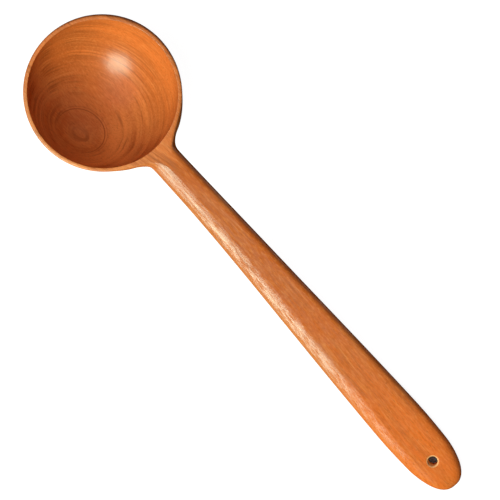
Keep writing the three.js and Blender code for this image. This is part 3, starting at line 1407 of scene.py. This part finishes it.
    def _grained(self, spot: Spot, figure: Figure, ground: bpy.types.NodeSocket) -> bpy.types.NodeSocket:
        """Draws fibre, growth lines, a painted sheen on the lit shoulder and pores over the broad colour.

        Args:
            spot: The spot.
            figure: The wood's pattern there.
            ground: The broad colour.

        Returns:
            The colour.
        """
        mix = spot.bench.mix
        fibre = figure.fibre
        late_share = figure.patches * (self.late_line_share - figure.to_grip * self.late_line_fade)
        pale_share = figure.patches * self.pale_line_share
        # Painted sheen along the lit -Y shoulder of the handle.
        painted_sheen = 1 - (spot.y + spot.x * self.painted_sheen_slant).rising(*self.painted_sheen_side)
        painted_sheen = painted_sheen * figure.on_handle * (1 - figure.to_grip * self.painted_sheen_fade)
        colour = mix(ground, self.fleck, fibre.rising(*self.fibre_range) * self.pale_fibre_share)
        colour = mix(colour, self.late, (1 - fibre).rising(*self.fibre_range) * self.late_fibre_share)
        colour = mix(colour, self.late, figure.lines.rising(*self.late_line_range) * late_share)
        colour = mix(colour, self.fleck, (1 - figure.lines).rising(*self.pale_line_range) * pale_share)
        colour = mix(colour, self.painted_sheen, painted_sheen * self.painted_sheen_share)
        return mix(colour, self.pore, figure.pores * self.pore_share)

    def _relief(self, bench: NodeBench, figure: Figure) -> bpy.types.NodeSocket:
        """The fine relief of raised fibre and sunken pores.

        Args:
            bench: The bench of the material.
            figure: The wood's pattern.

        Returns:
            The direction that the surface faces.
        """
        height = figure.fibre * self.fibre_height - figure.pores * self.pore_depth
        sockets = {"Strength": self.relief_strength, "Distance": self.relief_metres, "Height": height}
        return bench.node("ShaderNodeBump", {}, sockets).outputs[0]


@dataclass(frozen=True)
class PaleFloor:
    """A pale, matt floor that looks white to the camera and keeps a soft shadow."""

    name: str = "pale_floor"
    colour: Colour = (0.20, 0.20, 0.20, 1.0)
    white: Colour = (1.0, 1.0, 1.0, 1.0)
    glow: float = 0.97
    contact: float = 12 * MM
    contact_fade: Range = (0.2, 0.42)
    contact_samples: int = 8

    def material(self) -> bpy.types.Material:
        """Makes the material: matt, with a white glow that is only seen and that fades at contacts.

        Returns:
            The material.
        """
        made = bpy.data.materials.new(self.name)
        made.use_nodes = True
        bench = NodeBench(made.node_tree)
        path = bench.node("ShaderNodeLightPath", {}, {})
        rays = ("Is Camera Ray", "Is Glossy Ray", "Is Transmission Ray")
        camera, glossy, through = (Number(bench, path.outputs[ray]) for ray in rays)
        seen = bench.maths("MINIMUM", camera + glossy + through, 1.0)
        settings = {"samples": self.contact_samples}
        near = bench.node("ShaderNodeAmbientOcclusion", settings, {"Distance": self.contact})
        clear = Number(bench, near.outputs["AO"]).rising(*self.contact_fade)
        matt = bench.node("ShaderNodeBsdfDiffuse", {}, {"Color": self.colour})
        strength = seen * clear * self.glow
        glow = bench.node("ShaderNodeEmission", {}, {"Color": self.white, "Strength": strength})
        surface = bench.node("ShaderNodeAddShader", {}, {0: matt.outputs[0], 1: glow.outputs[0]})
        bench.node("ShaderNodeOutputMaterial", {}, {"Surface": surface.outputs[0]})
        return made


# The ladle


@dataclass
class Ladle:
    """The ladle, carved from one piece of wood: bowl, neck, handle and hanging hole."""

    bowl: Bowl = field(default_factory=Bowl)
    handle: Handle = field(default_factory=lambda: Handle(Neck()))
    finish: OiledWood = field(default_factory=OiledWood)
    tilt: float = math.radians(13.044)
    skin_levels: int = 2
    skin_rounds: int = 4
    name: str = "ladle_carved"

    def place(self) -> Matrix:
        """Finds where the ladle lies: on its bowl and the heel of its handle, tilted about the Y axis.

        Returns:
            The place, from the ladle's own frame to the scene.
        """
        low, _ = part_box(Packed.NODE.value)
        centre = Vector((low.x + self.bowl.radius, 0, low.z + self.bowl.radius))
        return Matrix.Translation(centre) @ Matrix.Rotation(self.tilt, 4, "Y")

    def carve(self) -> bpy.types.Object:
        """Shapes the ladle, lays it down and gives it its finish.

        Returns:
            The finished piece.
        """
        hole = HangingHole(self.bowl, self.handle)
        blank = self.bowl.turn(self.name)
        blank.tighten(self.skin_rounds)
        self.handle.neck.open_rim(self.bowl, blank)
        self.handle.draw_out(self.bowl, blank, hole.stations())
        hole.drill(blank)
        blank.close()
        blank.skin(self.skin_levels)
        piece = blank.piece
        piece.matrix_world = self.place()
        bpy.ops.object.transform_apply(location=True, rotation=True, scale=True)
        piece.data.materials.append(self.finish.material(self.place(), hole.place()))
        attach(piece, Packed.BODY.value)
        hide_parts(Packed.NODE.value)
        return piece


# Floor, light and camera


@dataclass(frozen=True)
class SoftLamp:
    """A round lamp that faces the bowl.

    Attributes:
        name: Name of the lamp.
        direction: Where it hangs, seen from the bowl, in the ladle's own frame.
        distance: How far it hangs from the bowl.
        size: Its diameter.
        power: Its power in watts.
        tint: Its colour.
        mirrored: Whether gloss shows it.
    """

    name: str
    direction: tuple[float, float, float]
    distance: float
    size: float
    power: float
    tint: tuple[float, float, float]
    mirrored: bool

    def hang(self, place: Matrix) -> None:
        """Hangs the lamp and turns it to the bowl.

        Args:
            place: The ladle's place, from its own frame to the scene.
        """
        direction = (place.to_3x3() @ Vector(self.direction)).normalized()
        stand = place.translation + direction * self.distance
        bpy.ops.object.light_add(type="AREA", location=stand)
        lamp = bpy.context.object
        lamp.name = self.name
        lamp.rotation_euler = direction.to_track_quat("Z", "Y").to_euler()
        lamp.data.shape = "DISK"
        lamp.data.size = self.size
        lamp.data.energy = self.power
        lamp.data.color = self.tint
        lamp.visible_glossy = self.mirrored


@dataclass(frozen=True)
class Studio:
    """A wide floor, a small lamp from the side, a large one from above and a dim, even room."""

    floor_size: float = 12.0
    floor_finish: PaleFloor = field(default_factory=PaleFloor)
    lamps: tuple[SoftLamp, ...] = (
        SoftLamp("side_lamp", (0.23, -0.659, 0.716), 0.6, 0.34, 4.0, (0.83, 1.0, 0.78), True),
        SoftLamp("fill_lamp", (-0.25, -0.35, 0.90), 1.1, 1.2, 7.1, (1.02, 1.05, 1.16), False),
    )
    room_light: float = 0.14
    room_colour: Colour = (1.0, 1.0, 1.0, 1.0)

    def lay_floor(self) -> bpy.types.Object:
        """Lays the floor under the ladle.

        Returns:
            The floor.
        """
        bpy.ops.object.select_all(action="DESELECT")
        bpy.ops.mesh.primitive_plane_add(size=self.floor_size, location=(0, 0, 0))
        floor = bpy.context.object
        floor.name = "floor"
        floor.data.materials.append(self.floor_finish.material())
        return floor

    def light(self, place: Matrix) -> None:
        """Hangs the lamps and sets the room's light.

        Args:
            place: The ladle's place, in whose own frame the lamps' directions are given.
        """
        for lamp in self.lamps:
            lamp.hang(place)
        world = bpy.data.worlds.new("room")
        world.use_nodes = True
        bench = NodeBench(world.node_tree)
        sockets = {"Color": self.room_colour, "Strength": self.room_light}
        glow = bench.node("ShaderNodeBackground", {}, sockets)
        bench.node("ShaderNodeOutputWorld", {}, {"Surface": glow.outputs[0]})
        bpy.context.scene.world = world


@dataclass(frozen=True)
class Viewpoint:
    """The camera: almost straight over the ladle, from afar, with the handle running to the lower right."""

    towards: tuple[float, float, float] = (-0.172, 0.184, 1.0)
    roll: float = 0.8195
    target: tuple[float, float, float] = (117.266 * MM, 0.819 * MM, 0.0)
    distance: float = 1.5
    pixels_per_metre: float = 1831.4
    sensor_width: float = 36.0
    clip_end: float = 100.0

    def aim(self, place: Matrix) -> bpy.types.Object:
        """Sets up the camera.

        Args:
            place: The ladle's place, in whose own frame the view is given.

        Returns:
            The camera.
        """
        back = Vector(self.towards).normalized()
        along = (Vector((1, 0, 0)) - back * back.x).normalized()
        across = back.cross(along)
        right = along * math.cos(self.roll) + across * math.sin(self.roll)
        up = across * math.cos(self.roll) - along * math.sin(self.roll)
        turned = Matrix((right, up, back)).transposed().to_4x4()
        stand = Vector(self.target) + back * self.distance
        bpy.ops.object.camera_add()
        camera = bpy.context.object
        camera.matrix_world = place @ Matrix.Translation(stand) @ turned
        camera.data.sensor_width = self.sensor_width
        camera.data.lens = self.pixels_per_metre * self.distance / PHOTO_WIDTH * self.sensor_width
        camera.data.clip_end = self.clip_end
        bpy.context.scene.camera = camera
        return camera


def main() -> None:
    """Builds the ladle, the studio and the camera, in that order."""
    logging.basicConfig(level=logging.INFO, format="%(name)s: %(message)s")
    bpy.context.scene.view_settings.view_transform = "Standard"
    ladle = Ladle()
    piece = ladle.carve()
    LOG.info("%s: %d faces", piece.name, len(piece.data.polygons))
    studio = Studio()
    floor = studio.lay_floor()
    LOG.info("%s laid", floor.name)
    studio.light(ladle.place())
    camera = Viewpoint().aim(ladle.place())
    LOG.info("%s set, lens %.1f mm", camera.name, camera.data.lens)


if __name__ == "__main__":
    main()
